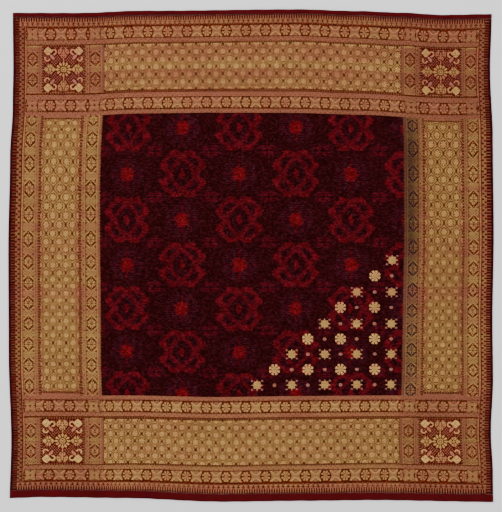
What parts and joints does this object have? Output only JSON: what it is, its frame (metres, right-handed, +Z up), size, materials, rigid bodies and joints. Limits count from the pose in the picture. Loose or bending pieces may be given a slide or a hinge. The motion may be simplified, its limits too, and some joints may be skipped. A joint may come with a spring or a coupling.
{
  "type": "square woven silk head cloth with a metal-thread border",
  "caption": "Square silk head cloth laid flat, dark field with a wide brocaded border, dense selvedges at the sides and turned hems at both ends.",
  "frame": {"origin": "centre of the flat underside, on the surface that the cloth lies on", "axes": "+X across the cloth from selvedge to selvedge, +Y along the warp to the top hem, +Z up out of the face"},
  "size_m": [0.8739, 0.8868, 0.0022],
  "materials": {
    "brocaded_silk": "weft ikat silk ground, dark maroon with deep red",
    "gold_thread": "gilt metal thread wound on silk, worn and slightly coppery",
    "hem_silk": "plain woven dark red silk, soft sheen"
  },
  "bodies": {
    "root": {"cloth": "brocaded_silk", "top_hem": "hem_silk", "bottom_hem": "hem_silk"}
  },
  "joints": []
}
